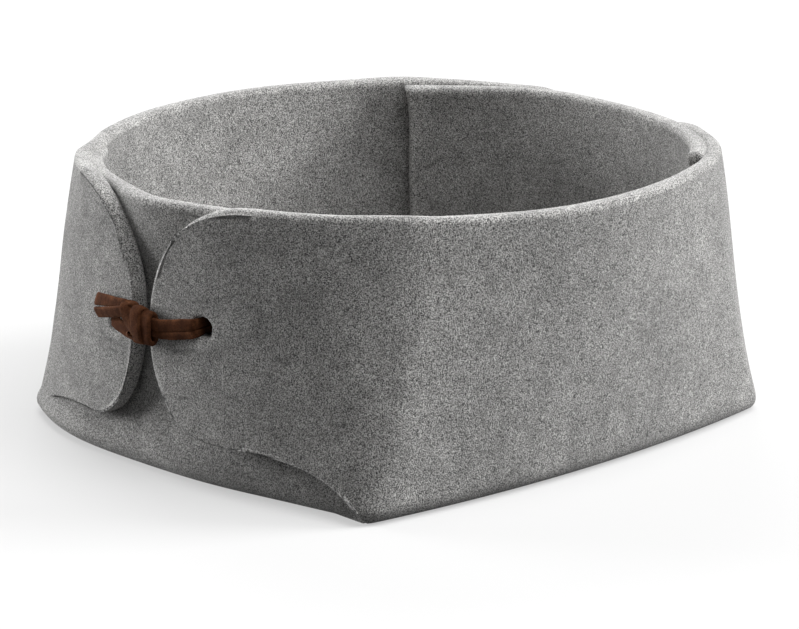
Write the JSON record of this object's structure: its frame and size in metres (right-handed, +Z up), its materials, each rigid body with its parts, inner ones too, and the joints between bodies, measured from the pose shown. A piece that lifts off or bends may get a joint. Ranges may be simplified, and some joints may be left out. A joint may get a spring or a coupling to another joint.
{
  "type": "folded felt basket",
  "caption": "Storage basket with a square base and a round rim, folded from thick felt, its side walls wrapped round the ends and tied there with knotted laces.",
  "frame": {"origin": "centre of the underside of the base, on the surface that the basket stands on", "axes": "+X along the length, from the left end to the right end; +Z up, out of the open rim"},
  "size_m": [0.2102, 0.179, 0.083],
  "materials": {
    "felt": "thick pressed wool felt, grey melange, matt",
    "suede": "dark brown suede, matt"
  },
  "bodies": {
    "basket": {"felt_blank": "felt", "lace_left": "suede", "lace_right": "suede"},
    "left_tab": {"end_wall_left": "felt"},
    "right_tab": {"end_wall_right": "felt"}
  },
  "joints": [
    {"name": "left_fold", "type": "hinge", "parent": "basket", "child": "left_tab", "pos_m": [-0.0734, 0, 0.0053], "axis": [0, 1, 0], "range_deg": [0, 60], "stiffness_Nm_per_rad": 0.05, "springref_deg": -17.19},
    {"name": "right_fold", "type": "hinge", "parent": "basket", "child": "right_tab", "pos_m": [0.0734, 0, 0.0053], "axis": [0, -1, 0], "range_deg": [0, 60], "stiffness_Nm_per_rad": 0.05, "springref_deg": -17.19}
  ]
}
